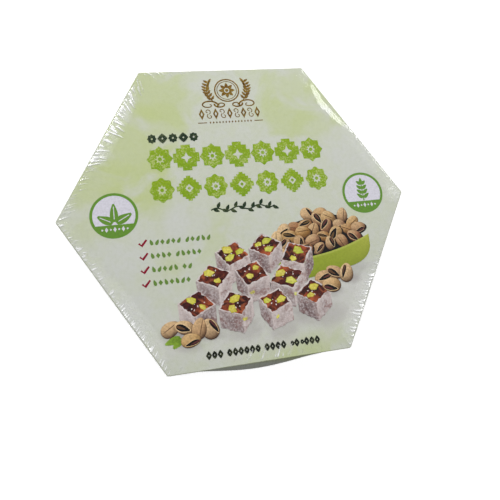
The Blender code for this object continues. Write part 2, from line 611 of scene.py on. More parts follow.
def stroke_sides(path, widths):
    """The two sides of a pen stroke along a path, as wide at each point as widths says."""
    sides = ([], [])
    for index, (x, y) in enumerate(path):
        before = path[max(index - 1, 0)]
        after = path[min(index + 1, len(path) - 1)]
        dx, dy = after[0] - before[0], after[1] - before[1]
        size = hypot(dx, dy) or 1.0
        half = widths[index] / 2
        sides[0].append((x - dy / size * half, y + dx / size * half))
        sides[1].append((x + dy / size * half, y - dx / size * half))
    return sides


# ---------------------------------------------------------------- printing


class Print:
    """Printed shapes gathered into one piece: thin plates of ink that stand on the lid's top."""

    THICKNESS = 0.020 * MM
    STEP = 0.005 * MM  # each level of overprint lies this much higher
    ROOT = 0.010 * MM  # a plate's foot lies this far under the card's surface

    def __init__(self, name):
        self.name = name
        self.shape = bmesh.new()
        self.ink = self.shape.verts.layers.float_color.new("ink")
        self.materials = []

    def point(self, place, height, colour):
        made = self.shape.verts.new((place[0], place[1], height))
        made[self.ink] = (*colour, 1.0)
        return made

    def plate(self, rows, colours, material, level=0, ring=False, filled=False):
        """A closed plate over rows of points, with one colour to each row or to each point.

        A ring's rows are closed outlines, one inside the other; filled closes the innermost.
        """
        if material not in self.materials:
            self.materials.append(material)
        top_height = LID_TOP + self.THICKNESS + self.STEP * level
        tops, feet = [], []
        for row, tint in zip(rows, colours):
            tints = tint if isinstance(tint[0], (tuple, list)) else [tint] * len(row)
            tops.append([self.point(p, top_height, c) for p, c in zip(row, tints)])
            feet.append([self.point(p, LID_TOP - self.ROOT, c) for p, c in zip(row, tints)])
        count = len(rows[0])
        spans = [(a, (a + 1) % count) for a in range(count if ring else count - 1)]
        faces = []
        for upper, foot, next_upper, next_foot in zip(tops, feet, tops[1:], feet[1:]):
            for a, b in spans:
                faces.append((upper[a], upper[b], next_upper[b], next_upper[a]))
                faces.append((foot[b], foot[a], next_foot[a], next_foot[b]))
            if not ring:
                faces.append((upper[0], next_upper[0], next_foot[0], foot[0]))
                faces.append((next_upper[-1], upper[-1], foot[-1], next_foot[-1]))
        for a, b in spans:
            faces.append((tops[0][b], tops[0][a], feet[0][a], feet[0][b]))
            if not filled:
                faces.append((tops[-1][a], tops[-1][b], feet[-1][b], feet[-1][a]))
        if filled:
            faces.append(tops[-1])
            faces.append(feet[-1][::-1])
        index = self.materials.index(material)
        for corners in faces:
            self.shape.faces.new(corners).material_index = index

    def disc(self, rows, colours, material, level=0):
        """A plate over closed outlines, each inside the one before, the last one filled."""
        self.plate(rows, colours, material, level, ring=True, filled=True)

    def flat(self, outline, colour, material, level=0, inner=None):
        """A plate of one colour inside an outline, or between it and an inner outline."""
        if inner:
            self.plate([outline, inner], [colour, colour], material, level, ring=True)
        else:
            self.disc([outline], [colour], material, level)

    def strip(self, sides, colour, material, level=0):
        """A plate of one colour between two sides."""
        self.plate(list(sides), [colour, colour], material, level)

    def leaf(self, root, angle, length, width, colour, material, level=0, bend=0.0, tip=None):
        """A leaf from its root at an angle, shading to a tip colour if one is given."""
        left, right = (turned(side, angle, root) for side in leaf_sides(length, width, bend))
        shades = [toward(colour, tip or colour, along) for along in shares(len(left) - 1)]
        self.plate([left[1:-1], right[1:-1]], [shades[1:-1], shades[1:-1]], material, level)

    def stroke(self, path, widths, colour, material, level=0):
        """A pen stroke along a path, of one width or of one for each of its points."""
        if not isinstance(widths, list):
            widths = [widths] * len(path)
        self.strip(stroke_sides(path, widths), colour, material, level)

    def lay(self):
        """Turns what was printed into a piece on the lid."""
        bmesh.ops.recalc_face_normals(self.shape, faces=self.shape.faces)
        mesh = bpy.data.meshes.new(self.name)
        self.shape.to_mesh(mesh)
        self.shape.free()
        for material in self.materials:
            mesh.materials.append(material)
        piece = put(self.name, mesh)
        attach(piece, "root")


def place_of(x, y):
    """A place on the lid given in millimetres from its middle."""
    return (x * MM, y * MM)


def put(name, data):
    """Puts a new object into the scene."""
    made = bpy.data.objects.new(name, data)
    bpy.context.scene.collection.objects.link(made)
    return made


# ---------------------------------------------------------------- card


def dress_card():
    """Gives the lid its painted wash and the base its plain card."""
    card = bpy.context.scene.carton_card
    for node, material in (("carton_lid", painted_wash(card)), ("carton_base", plain_card(card))):
        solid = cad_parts[node]
        solid.data.materials.clear()
        solid.data.materials.append(material)


# ---------------------------------------------------------------- title


TILES_IN_ROW = 7
TITLE_ROWS = (  # first and last tile's middle, the row's height, half a tile's width and height
    (-34.2, 37.4, 25.35, 5.95, 6.30, ("star", "block")),
    (-34.6, 37.9, 10.55, 5.55, 5.95, ("flower", "lozenge")),
)
SMALL_ROW = (-36.9, 35.35)  # the first small tile's middle
SMALL_PITCH = 4.75
SMALL_TILE = (2.2 * MM, 2.4 * MM)  # half its width and height
SMALL_KINDS = ("star", "lozenge", "star", "lozenge", "star")
VINE_START = (-14.0, -0.7)
VINE_LENGTH = 29.5
VINE_SWING = 0.8  # to either side
VINE_WAVES = 3  # over its length
VINE_STEPS = 60
VINE_LEAVES = 15
TILES = {  # outline, the hole in it, the hole's size, the stud's size
    "star": (star(8, 0.80), star(8, 0.55), 0.40, 0.17),
    "block": (finer(stepped_block(), 3), star(4, 0.42), 0.44, 0.0),
    "flower": (lobed(8, 0.08), lobed(8, 0.16), 0.38, 0.16),
    "lozenge": (finer(stepped_lozenge(), 2), lozenge(1.0, 1.0), 0.34, 0.14),
}
BOLD_HOLE = 0.6  # a bold tile's hole, as a share of the plain one's


def tile(sheet, kind, centre, half_width, half_height, colours, material, bold=False):
    """One tile ornament with a hole through it and a stud in the hole, lighter to its top.

    A bold one has a smaller hole and no stud.
    """
    outline, hole, hole_share, stud_share = TILES[kind]
    if bold:
        hole_share, stud_share = BOLD_HOLE * hole_share, 0.0
    outer = fitted(outline, half_width, half_height, centre)
    hole = matched(hole, outline)
    inner = fitted(hole, half_width * hole_share, half_height * hole_share, centre)
    low, high = centre[1] - half_height, centre[1] + half_height
    tints = [
        [toward(*colours, (y - low) / (high - low)) for _, y in points] for points in (outer, inner)
    ]
    sheet.plate([outer, inner], tints, material, ring=True)
    if stud_share:
        stud = fitted(outline, half_width * stud_share, half_height * stud_share, centre)
        sheet.flat(stud, colours[0], material)


def matched(hole, outline):
    """The hole's outline walked with one point for each of the outer outline's, by angle."""
    corners = sorted((atan2(y, x) % tau, x, y) for x, y in hole)
    ring = [corners[-1], *corners, corners[0]]
    angles = [angle for angle, _, _ in ring]
    angles[0] -= tau
    angles[-1] += tau
    found = []
    for x, y in outline:
        angle = atan2(y, x) % tau
        place = max(index for index in range(len(angles) - 1) if angles[index] <= angle)
        share = (angle - angles[place]) / (angles[place + 1] - angles[place])
        found.append(toward(ring[place][1:], ring[place + 1][1:], share))
    return found


def print_title():
    """Prints two bold rows of tile ornaments, the small dark row over them and the vine below."""
    settings = bpy.context.scene.carton_print
    sheet = Print("title_tiles")
    stamped = printed_ink("stamped_ink", wear=0.6)
    greens = (settings.title[:], settings.title_light[:])
    size = settings.tile_height / TILE_HEIGHT
    for first, last, height, half_width, half_height, kinds in TITLE_ROWS:
        for index, along in enumerate(shares(TILES_IN_ROW - 1)):
            centre = place_of(first + (last - first) * along, height)
            kind = kinds[index % len(kinds)]
            tile(sheet, kind, centre, half_width * size, half_height * size, greens, stamped)
    sheet.lay()

    sheet = Print("small_blocks")
    dark = settings.dark[:]
    ink = printed_ink("dark_ink", wear=0.12)
    for index, kind in enumerate(SMALL_KINDS):
        centre = place_of(SMALL_ROW[0] + SMALL_PITCH * index, SMALL_ROW[1])
        tile(sheet, kind, centre, *SMALL_TILE, (dark, dark), ink, bold=True)
    sheet.lay()

    sheet = Print("vine")
    path = []
    for along in shares(VINE_STEPS):
        swing = VINE_SWING * sin(along * tau * VINE_WAVES)
        path.append(place_of(VINE_START[0] + VINE_LENGTH * along, VINE_START[1] + swing))
    sheet.stroke(path, 0.62 * MM, dark, ink)
    for index in range(VINE_LEAVES):
        root = path[round((index + 0.5) / VINE_LEAVES * VINE_STEPS)]
        angle = radians(62 if index % 2 else -26)
        sheet.leaf(root, angle, 3.4 * MM, 1.75 * MM, dark, ink, level=1 + index % 2)
    sheet.lay()


# ---------------------------------------------------------------- badges


BADGE_RIM = 1.2 * MM
BADGE_STEPS = 72
FOOT_DROP = 0.41  # the green foot's upper edge, under the middle, as a share of the radius
FOOT_STEPS = 24
STUDS = 7
STUD_PITCH = 1.75 * MM
STUD_DROP = 2.0 * MM  # under the foot's upper edge


def badge(name, centre, draw):
    """A round badge: a green ring, a pale field with a sprig, a green foot with pale studs."""
    settings = bpy.context.scene.carton_print
    sheet = Print(name)
    ink = printed_ink("badge_ink", grain=0.06)
    radius = settings.badge_radius
    green, field = settings.badge[:], settings.field[:]
    reach = radius - BADGE_RIM / 2
    outer, middle, inner = (
        moved(circle(size, BADGE_STEPS), centre) for size in (radius, reach, radius - BADGE_RIM)
    )
    sheet.flat(middle, field, ink)
    sheet.flat(outer, green, ink, level=1, inner=inner)
    drop = -FOOT_DROP * radius
    start = asin(drop / reach)
    chord = [pi - start + (pi + 2 * start) * along for along in shares(FOOT_STEPS)]
    sheet.flat([around(reach, angle, centre) for angle in chord], green, ink, level=2)
    for index in range(STUDS):
        aside = (index - (STUDS - 1) / 2) * STUD_PITCH
        stud = (centre[0] + aside, centre[1] + drop - STUD_DROP)
        shape = lozenge(0.72 * MM, 1.15 * MM) if index % 2 else circle(0.42 * MM, 12)
        sheet.flat(moved(shape, stud), field, ink, level=3)
    draw(sheet, centre, green, field, ink)
    sheet.lay()


SEEDLING = (  # angle in degrees, length, width, bend in millimetres, level of the overprint
    (38, 9.3, 4.5, -1.1, 2), (142, 8.7, 4.3, 1.1, 3), (90, 10.2, 3.9, 0.0, 4),
)


def draw_seedling(sheet, centre, green, field, ink):
    """Three broad, veined leaves that spread from one short stalk."""
    root = (centre[0], centre[1] - 3.9 * MM)
    for degrees, length, width, bend, level in SEEDLING:
        angle = radians(degrees)
        length, width, bend = length * MM, width * MM, bend * MM
        sheet.leaf(root, angle, length, width, green, ink, level=level, bend=bend)
        vein = [(length * along, leaf_middle(along, bend)) for along in (0.22, 0.4, 0.6, 0.78)]
        sheet.stroke(turned(vein, angle, root), 0.34 * MM, field, ink, level=level + 0.5)


TWIG_PAIRS = 4


def draw_twig(sheet, centre, green, _, ink):
    """An upright twig with pairs of small leaves."""
    x, y = centre
    sheet.stroke([(x, y - 4.0 * MM), (x, y + 5.0 * MM)], 0.55 * MM, green, ink, level=2)
    for pair in range(TWIG_PAIRS):
        root = (x, y + (-2.9 + 2.3 * pair) * MM)
        length = (4.3 - 0.35 * pair) * MM
        for degrees, level in ((40, 3.5), (140, 3)):
            sheet.leaf(root, radians(degrees), length, 1.9 * MM, green, ink, level=level)
    top = (x, y + 4.4 * MM)
    sheet.leaf(top, radians(90), 3.4 * MM, 1.7 * MM, green, ink, level=4)


def print_badges():
    badge("badge_left", place_of(-56.0, 0.8), draw_seedling)
    badge("badge_right", place_of(59.6, 1.5), draw_twig)


# ---------------------------------------------------------------- gold rosette


def spiral(start_radius, end_radius, start, sweep, steps=26):
    """A path that winds round the origin from one radius to another, its angles in degrees."""
    path = []
    for along in shares(steps):
        radius = start_radius + (end_radius - start_radius) * along
        path.append(around(radius, radians(start + sweep * along)))
    return path


ROSETTE = (0.5, 58.4)
ROSETTE_RINGS = ((6.1, 5.45), (4.9, 4.55))  # outer and inner radius
PETALS = 8
PETAL_ROOT = 0.9 * MM
SPRAY_STEPS = 14
SCROLLS = (  # aside and up from the rosette, first and last radius, first angle
    (9.6, -7.4, 4.6, 0.8, 200), (3.9, -7.3, 3.0, 0.6, 20),
)
SCROLL_SWEEP = -430
SCROLL_SQUASH = 0.55
BORDER_HEIGHT = 46.4
BORDER_START = -12.9
BORDER_PITCH = 3.35
BORDER_FIGURES = 9
BEADS_HEIGHT = 42.0
BEADS_START = -9.25
BEAD_PITCH = 1.5
BEADS = 14
BEADS_DASH = (11.4, 15.6)  # the dash at each end of the beads, from the rosette's middle


def print_rosette():
    """Stamps the gold rosette, the leaf sprays beside it, the scrolls and the rows under it."""
    settings = bpy.context.scene.carton_print
    sheet = Print("gold_rosette")
    foil, gold = gold_foil(settings), settings.gold[:]
    middle = place_of(*ROSETTE)
    for outer, inner in ROSETTE_RINGS:
        outer, inner = (moved(circle(radius * MM, 60), middle) for radius in (outer, inner))
        sheet.flat(outer, gold, foil, inner=inner)
    for petal in range(PETALS):
        angle = tau * petal / PETALS
        root = around(PETAL_ROOT, angle, middle)
        sheet.leaf(root, angle, 3.3 * MM, 1.9 * MM, gold, foil, level=petal % 2)
    sheet.flat(moved(circle(0.8 * MM, 20), middle), gold, foil, level=2)
    for side in (1, -1):
        print_spray(sheet, middle, side, gold, foil)
    print_border(sheet, gold, foil)
    for side in (1, -1):
        dash = [place_of(ROSETTE[0] + side * end, BEADS_HEIGHT) for end in BEADS_DASH]
        sheet.stroke(dash, 0.42 * MM, gold, foil)
    for index in range(BEADS):
        bead = place_of(BEADS_START + BEAD_PITCH * index, BEADS_HEIGHT)
        sheet.flat(moved(lozenge(0.42 * MM, 0.62 * MM), bead), gold, foil)
    sheet.lay()


def print_spray(sheet, middle, side, gold, foil):
    """The leafy stem and the two scrolls on one side of the rosette: 1 is right, -1 left."""
    stem = []
    for along in shares(SPRAY_STEPS):
        aside = 7.4 + 2.4 * sin(pi * along * 0.9)
        stem.append((middle[0] + side * aside * MM, middle[1] + (-5.4 + 10.4 * along) * MM))
    sheet.stroke(stem, 0.5 * MM, gold, foil)
    for root in stem[1::2]:
        for lean, level in ((58, 2), (-34, 1)):
            angle = radians(90 - side * lean)
            sheet.leaf(root, angle, 2.9 * MM, 1.35 * MM, gold, foil, level=level)
    for aside, up, first, last, start in SCROLLS:
        centre = (middle[0] + side * aside * MM, middle[1] + up * MM)
        path = spiral(first * MM, last * MM, start, SCROLL_SWEEP)
        path = [(centre[0] + side * x, centre[1] + SCROLL_SQUASH * y) for x, y in path]
        widths = [(0.85 - 0.45 * index / len(path)) * MM for index in range(len(path))]
        sheet.stroke(path, widths, gold, foil)


def print_border(sheet, gold, foil):
    """The row under the rosette: open lozenges, and between them pairs of curls."""
    for index in range(BORDER_FIGURES):
        x, y = place_of(BORDER_START + BORDER_PITCH * index, BORDER_HEIGHT)
        if index % 2:
            curl = moved(spiral(1.5 * MM, 0.35 * MM, -60, 330, steps=14), (-0.5 * MM, 1.2 * MM))
            for way in (1, -1):
                path = [(x + way * across, y + way * up) for across, up in curl]
                sheet.stroke(path, 0.42 * MM, gold, foil, level=way > 0)
        else:
            shape = lozenge(1.35 * MM, 2.9 * MM)
            sheet.flat(moved(shape, (x, y)), gold, foil, inner=moved(scaled(shape, 0.40), (x, y)))


# ---------------------------------------------------------------- list and foot line


LIST_ROWS = (  # height of the row and its figures: leaves, studs and gaps
    (-12.8, "llolol lolll"), (-18.7, "lolo llolo"), (-24.6, "lloll ol"), (-30.5, "lolollo"),
)
LIST_START = -41.4
LIST_PITCH = 2.35
LIST_GAP = 1.3
CHECK_MARK = ((-46.7, 0.1), (-45.5, -1.1), (-43.3, 1.5))  # its corners, up from the row's height
CHECK_WIDTHS = (0.8, 1.15, 0.8)


def print_list():
    """Prints four check marks, each before a row of small slanting leaves and studs."""
    settings = bpy.context.scene.carton_print
    sheet = Print("check_marks")
    ink = printed_ink("tick_ink")
    for height, _ in LIST_ROWS:
        path = [place_of(x, height + up) for x, up in CHECK_MARK]
        sheet.stroke(path, [width * MM for width in CHECK_WIDTHS], settings.tick[:], ink)
    sheet.lay()

    sheet = Print("leaf_rows")
    ink = printed_ink("list_ink", grain=0.06)
    green = settings.list[:]
    for height, figures in LIST_ROWS:
        x = LIST_START
        for index, figure in enumerate(figures):
            if figure == "l":
                degrees, aside = (62, -0.6) if index % 2 else (106, 0.4)
                root = place_of(x + aside, height - 1.45)
                sheet.leaf(root, radians(degrees), 3.2 * MM, 1.6 * MM, green, ink)
            elif figure == "o":
                stud = lozenge(0.95 * MM, 1.25 * MM)
                sheet.flat(moved(stud, place_of(x, height)), green, ink)
            x += LIST_GAP if figure == " " else LIST_PITCH
    sheet.lay()


FOOT_FIGURES = "lbl bllblb blbl ololbl"  # lozenges, blocks and small stars, with gaps
FOOT_START = (-22.3, -63.5)
FOOT_GAP = 1.5
FOOT_TILES = {  # kind, half its width and height, the way on to the next
    "l": ("lozenge", 1.2, 1.75, 2.45),
    "b": ("block", 1.1, 1.55, 2.45),
    "o": ("star", 0.9, 1.15, 2.0),
}


def print_foot_line():
    """Prints the row of small lozenges, blocks and stars along the foot of the lid."""
    ink = printed_ink("foot_ink", wear=0.1)
    colour = bpy.context.scene.carton_print.weight[:]
    sheet = Print("foot_line")
    x, y = FOOT_START
    for figure in FOOT_FIGURES:
        if figure == " ":
            x += FOOT_GAP
            continue
        kind, half_width, half_height, advance = FOOT_TILES[figure]
        half_sizes = (half_width * MM, half_height * MM)
        tile(sheet, kind, place_of(x, y), *half_sizes, (colour, colour), ink, bold=True)
        x += advance
    sheet.lay()


# ---------------------------------------------------------------- sweets


VIEW_DOWN = radians(46)  # the printed cubes are drawn as seen from this far above
CUBES = (  # left to right and up, in millimetres from the lid's middle, then turn in degrees
    (-7.0, -25.5, 30), (8.2, -23.0, 52), (22.0, -28.5, 66),
    (-16.5, -34.5, 56), (0.6, -35.0, 24), (16.0, -38.5, 60),
    (-25.0, -45.5, 34), (-8.4, -47.2, 62), (9.2, -48.0, 26), (27.2, -46.2, 48),
)
CUBE_ROWS = (3, 6, 10)  # how many cubes there are up to the end of each row
ROW_LEVEL = 19  # the back row's level of overprint
ROW_STEP = 2.6  # and how much higher each next row's is
SIDE_TONES = ((0.60, 0.20), (0.25, 0.70), (0.70, 0.30))  # how shaded a cube's two sides are
SIDE_POINTS = 10
SIDE_ROWS = 6
JELLY_SHARES = (1.0, 0.85, 0.62, 0.38, 0.16)  # the rings of a cut face, as shares of its outline
FLECKS = 5
ROUND_DOWN = 0.72  # a circle on a cube's top looks this flat


def drawn(x, y, z, turn):
    """Where a corner of a cube appears in the drawing."""
    across = x * cos(turn) - y * sin(turn)
    back = x * sin(turn) + y * cos(turn)
    return (across, back * sin(VIEW_DOWN) + z * cos(VIEW_DOWN))


def uneven_line(start, end, steps, wobble, chance):
    """Points from start up to but not including end, pushed a little aside."""
    dx, dy = end[0] - start[0], end[1] - start[1]
    size = hypot(dx, dy)
    points = []
    for along in shares(steps)[:-1]:
        aside = wobble * (chance.random() - 0.5) * (2.0 if along else 0.6)
        x, y = toward(start, end, along)
        points.append((x - dy / size * aside, y + dx / size * aside))
    return points


def uneven_outline(corners, steps, wobble, chance):
    outline = []
    for start, end in zip(corners, corners[1:] + corners[:1]):
        outline += uneven_line(start, end, steps, wobble, chance)
    return outline


def draw_cube(sheet, inks, settings, spot, level, chance):
    """One dusted cube: two sugared sides, the jelly of its cut top, and kernels set in it."""
    x, y, degrees = spot
    turn = radians(degrees)
    half = settings.cube / 2 * chance.uniform(0.93, 1.04)
    corners = [(-half, -half), (half, -half), (half, half), (-half, half)]
    top = moved([drawn(a, b, half, turn) for a, b in corners], place_of(x, y))
    foot = moved([drawn(a * 0.97, b * 0.97, -half, turn) for a, b in corners], place_of(x, y))
    tones = chance.choice(SIDE_TONES)
    for side, tone in zip((3, 1), tones):
        upper, lower = (top[side], top[0]), (foot[side], foot[0])
        draw_side(sheet, inks["sugar"], settings, upper, lower, tone, level, chance)
    dust = toward(settings.sugar[:], paint("D6D0CE"), 0.45)
    sheet.flat(uneven_outline(top, 8, 0.25 * MM, chance), dust, inks["sugar"], level + 0.4)
    core = middle_of(top)
    glow = draw_jelly(sheet, inks["jelly"], settings, top, core, level + 0.8, chance)

    def on_top(way, reach):
        return (core[0] + reach * cos(way), core[1] + ROUND_DOWN * reach * sin(way))

    count = chance.choice((2, 2, 3))
    for index in range(count):
        way = tau * index / count + chance.uniform(-0.5, 0.5) + glow
        place = on_top(way, chance.uniform(2.3, 4.0) * MM)
        size = chance.uniform(1.5, 2.3) * MM
        draw_kernel(sheet, inks["plain"], settings, place, size, level + 1.2 + 0.2 * index, chance)
    for _ in range(FLECKS):
        way, reach = tau * chance.random(), chance.uniform(0.5, 4.2) * MM
        size = chance.uniform(0.16, 0.34) * MM
        fleck = turned(lozenge(size * 1.6, size), way, on_top(way, reach))
        sheet.flat(fleck, paint("E3D8D4"), inks["plain"], level + 1.1)
    if chance.random() < 0.5:
        on_edge = toward(top[0], top[1], chance.uniform(0.2, 0.5))
        low = toward(on_edge, foot[0], chance.uniform(0.3, 0.5))
        size = chance.uniform(0.9, 1.3) * MM
        draw_kernel(sheet, inks["sugar"], settings, low, size, level + 0.3, chance)


def draw_side(sheet, ink, settings, upper, lower, tone, level, chance):
    """A cube's sugared side between its upper and its lower edge, darker to its middle and foot."""
    upper = uneven_line(*upper, SIDE_POINTS, 0.15 * MM, chance) + [upper[1]]
    lower = uneven_line(*lower, SIDE_POINTS, 0.30 * MM, chance) + [lower[1]]
    rows, tints = [], []
    for down in shares(SIDE_ROWS):
        rows.append([toward(a, b, down) for a, b in zip(upper, lower)])
        row = []
        for along in shares(SIDE_POINTS):
            middle = sin(pi * along) * sin(pi * min(1.0, down * 1.1))
            fade = tone - 0.18 + 0.30 * middle + 0.25 * down**3 + chance.uniform(-0.14, 0.14)
            row.append(toward(settings.sugar[:], settings.sugar_shade[:], clamped(fade)))
        tints.append(row)
    sheet.plate(rows, tints, ink, level)


def draw_jelly(sheet, ink, settings, top, core, level, chance):
    """The cut face inside a cube's top, clearest on the side where it glows: that side's angle."""
    outline = scaled(uneven_outline(top, 9, 0.42 * MM, chance), 0.90, core)
    glow = tau * chance.random()
    rows, tints = [], []
    for share in JELLY_SHARES:
        rows.append(scaled(outline, share, core))
        row = []
        for x, y in outline:
            side = 0.5 + 0.5 * cos(atan2(y - core[1], x - core[0]) - glow)
            clear = side**2 * (0.25 + 0.75 * share) + chance.uniform(-0.05, 0.05)
            tint = toward(settings.jelly_deep[:], settings.jelly[:], clamped(0.35 + 0.8 * clear))
            row.append(toward(tint, settings.jelly_clear[:], clamped(1.3 * clear - 0.35)))
        tints.append(row)
    sheet.disc(rows, tints, ink, level)
    return glow


def draw_kernel(sheet, ink, settings, centre, size, level, chance):
    """A chunk of kernel: a broken, angular piece whose facets run from bright to pale."""
    corners = []
    count = chance.choice((5, 6, 6))
    for step in range(count):
        angle = tau * (step + chance.uniform(-0.28, 0.28)) / count
        x, y = around(size * chance.uniform(0.80, 1.15), angle)
        corners.append((1.25 * x, 0.82 * y))
    outline = finer(turned(corners, chance.uniform(-0.6, 0.6), centre), 2)
    skin = toward(settings.kernel_deep[:], paint("5A4A1E"), chance.uniform(0.0, 0.7))
    green = paint(chance.choice(("BFA43C", "93B024")))
    bright = toward(settings.kernel[:], green, chance.uniform(0.0, 0.7))
    pale = toward(bright, paint("E6DF78"), chance.uniform(0.5, 0.9))
    core = middle_of(outline)
    crest = moved(scaled(outline, 0.48, core), (0.0, 0.14 * size))
    edge = [toward(skin, bright, 0.7 if y > core[1] else 0.1) for _, y in outline]
    facets = [toward(bright, pale, chance.random()) for _ in outline]
    inner = [toward(tint, pale, chance.uniform(0.1, 0.9)) for tint in facets]
    sheet.disc([outline, scaled(outline, 0.84, core), crest], [edge, facets, inner], ink, level)


def print_sweets():
    """Prints the heap of dusted cubes."""
    settings = bpy.context.scene.carton_sweets
    sheet = Print("printed_cubes")
    inks = {
        "sugar": speckled_ink("sugar_ink", SUGAR_SPECKS, roughness=0.5, specular=0.2),
        "jelly": speckled_ink("jelly_ink", JELLY_SPECKS, roughness=0.42, specular=0.3),
        "plain": printed_ink("kernel_ink", grain=0.12),
    }
    chance = random.Random(41)
    for index, spot in enumerate(CUBES):
        row = sum(index >= end for end in CUBE_ROWS)
        draw_cube(sheet, inks, settings, spot, ROW_LEVEL + ROW_STEP * row, chance)
    sheet.lay()


# ---------------------------------------------------------------- nuts and bowl


NUT_STEPS = 18
NUT_LIGHT = radians(115)  # where the light on the nuts comes from, from +X
NUT_RINGS = ((1.0, 1.0), (0.88, 0.85), (0.66, 0.5), (0.36, 0.2))  # size, and how far lit from aside


def nut_outline(centre, length, turn, plump):
    """An egg-shaped shell, its sharper end along the turn."""
    points = []
    for step in range(NUT_STEPS):
        x, y = around(length / 2, tau * step / NUT_STEPS)
        sharp = 1 - 0.32 * x / length
        points.append((x, y * plump * sharp))
    return turned(points, turn, centre)


def draw_nut(sheet, ink, settings, centre, length, turn, level, chance, open_share, shaded):
    """One nut in its shell, lit from the upper left: closed with a seam, or split open.

    A shaded one is darker, and casts a dark shadow on those under it.
    """
    plump = chance.uniform(0.64, 0.80)
    tan = paint(chance.choice(("9C5C42", "B98A3E", "A88468")))
    body = toward(settings.shell[:], tan, chance.uniform(0.1, 0.9))
    lift = chance.uniform(0.0, 0.5)
    body = toward(body, settings.shell_light[:], 0.7 * lift if shaded else lift + 0.25)
    if shaded:
        body = toward(body, paint("5E2C1C"), 0.16)
    light = toward(body, settings.shell_light[:], chance.uniform(0.5, 1.0))
    deep, gap = settings.shell_deep[:], settings.gap[:]
    outline = nut_outline(centre, length, turn, plump)
    if shaded:
        fallen = moved(scaled(outline, 1.07, centre), (0.05 * length, -0.07 * length))
        sheet.flat(fallen, gap, ink, level - 0.15)
    rows, tints = [], []
    for share, spread in NUT_RINGS:
        drift = (1 - share) * 0.16 * length
        rows.append(moved(scaled(outline, share, centre), (-0.5 * drift, drift)))
        row = []
        for x, y in outline:
            lit = 0.5 + 0.5 * cos(atan2(y - centre[1], x - centre[0]) - NUT_LIGHT)
            tone = lit**1.1 * spread + (1 - spread) * 0.78 - (0.28 if share == 1.0 else 0.0)
            tint = toward(deep, body, clamped(1.45 * tone))
            row.append(toward(tint, light, clamped(2.0 * tone - 1.1)))
        tints.append(row)
    sheet.disc(rows, tints, ink, level)
    side = chance.choice((-1, 1)) * chance.uniform(0.0, 0.14) * length
    tip, tail = turned([(0.46 * length, side), (-0.42 * length, side * 0.6)], turn, centre)
    if chance.random() < open_share:
        gape = chance.uniform(0.20, 0.38) * length
        kernel = toward(paint("5C2A2E"), settings.kernel_deep[:], chance.uniform(0.0, 0.35))
        slits = ((0.88, 1.25, light, 0.3), (0.84, 1.0, gap, 0.5), (0.58, 0.42, kernel, 0.7))
        for long, wide, tint, up in slits:
            size = (long * length, wide * gape)
            sheet.leaf(tip, turn + pi, *size, tint, ink, level + up, bend=-side)
    else:
        path = [toward(tip, tail, along) for along in shares(8)]
        widths = [(0.12 + 0.26 * sin(pi * (index + 0.5) / 9)) * MM for index in range(9)]
        sheet.stroke(path, widths, toward(deep, body, 0.2), ink, level + 0.4)


BOWL_MIDDLE = (33.6, -22.6)  # of its rim's line
BOWL_HALF = 25.2  # half the rim's width
BOWL_DEPTH = 12.5
RIM_SAG = 3.4  # of the rim's front line, at its middle
BOWL_TILT = radians(8.5)
HEAP_HEIGHT = 18.5  # over the rim's line
HEAP_PITCH = (6.1, 4.0)  # between nuts along a row, and between rows, in millimetres
BACKING = (-0.70, 1.56)  # where the dark behind the nuts begins along the rim, and how far it goes
BACKING_STEPS = 32
GLAZE = (-0.84, 1.84)  # where the drawn bowl begins along its rim, and how far it goes
GLAZE_STEPS = 40
GLAZE_ROWS = (0.0, 0.07, 0.12, 0.4, 0.75, 1.0)  # down from the rim, as shares
RIM_ROWS = 0.1  # rows above this share are the lit rim


def beside_bowl(x, y):
    """A place in the bowl's own drawing, tilted with it, in millimetres on the lid."""
    return turned([(x, y)], BOWL_TILT, BOWL_MIDDLE)[0]


def bowl_point(along, down):
    """A point of the bowl: along its rim from -1 to 1, and down from the rim as a share."""
    sag = RIM_SAG * (1 - along**2)
    wall = BOWL_DEPTH * sqrt(max(0.0, 1 - abs(along) ** 5))
    return place_of(*beside_bowl(BOWL_HALF * along, -sag - down * max(0.0, wall - sag)))


def heap_top(along):
    """Height of the heap over the rim's line, along the rim from -1 to 1."""
    return HEAP_HEIGHT * max(0.0, 1 - abs(along) ** 2.8) ** 0.62


def heap_places(chance):
    """The heap's nuts from the back row to the front: (place, row, number in it, in the heap)."""
    places = []
    pitch, row_pitch = HEAP_PITCH
    count = round(2 * BOWL_HALF / pitch) + 1
    for row in range(round((HEAP_HEIGHT + RIM_SAG) / row_pitch)):
        height = HEAP_HEIGHT - 2.4 - row_pitch * row
        for index in range(count):
            x = (index - (count - 1) / 2 + 0.5 * (row % 2)) * pitch + chance.uniform(-0.9, 0.9)
            y = height + chance.uniform(-0.8, 0.8)
            along = x / BOWL_HALF
            above_rim = y >= -RIM_SAG * (1 - along**2) - 1.5
            if abs(along) <= 0.91 and y <= heap_top(along) - 2.3 and above_rim:
                inside = y < heap_top(along) - 5.5 and abs(along) < 0.86
                places.append((beside_bowl(x, y), row, index, inside))
    return places


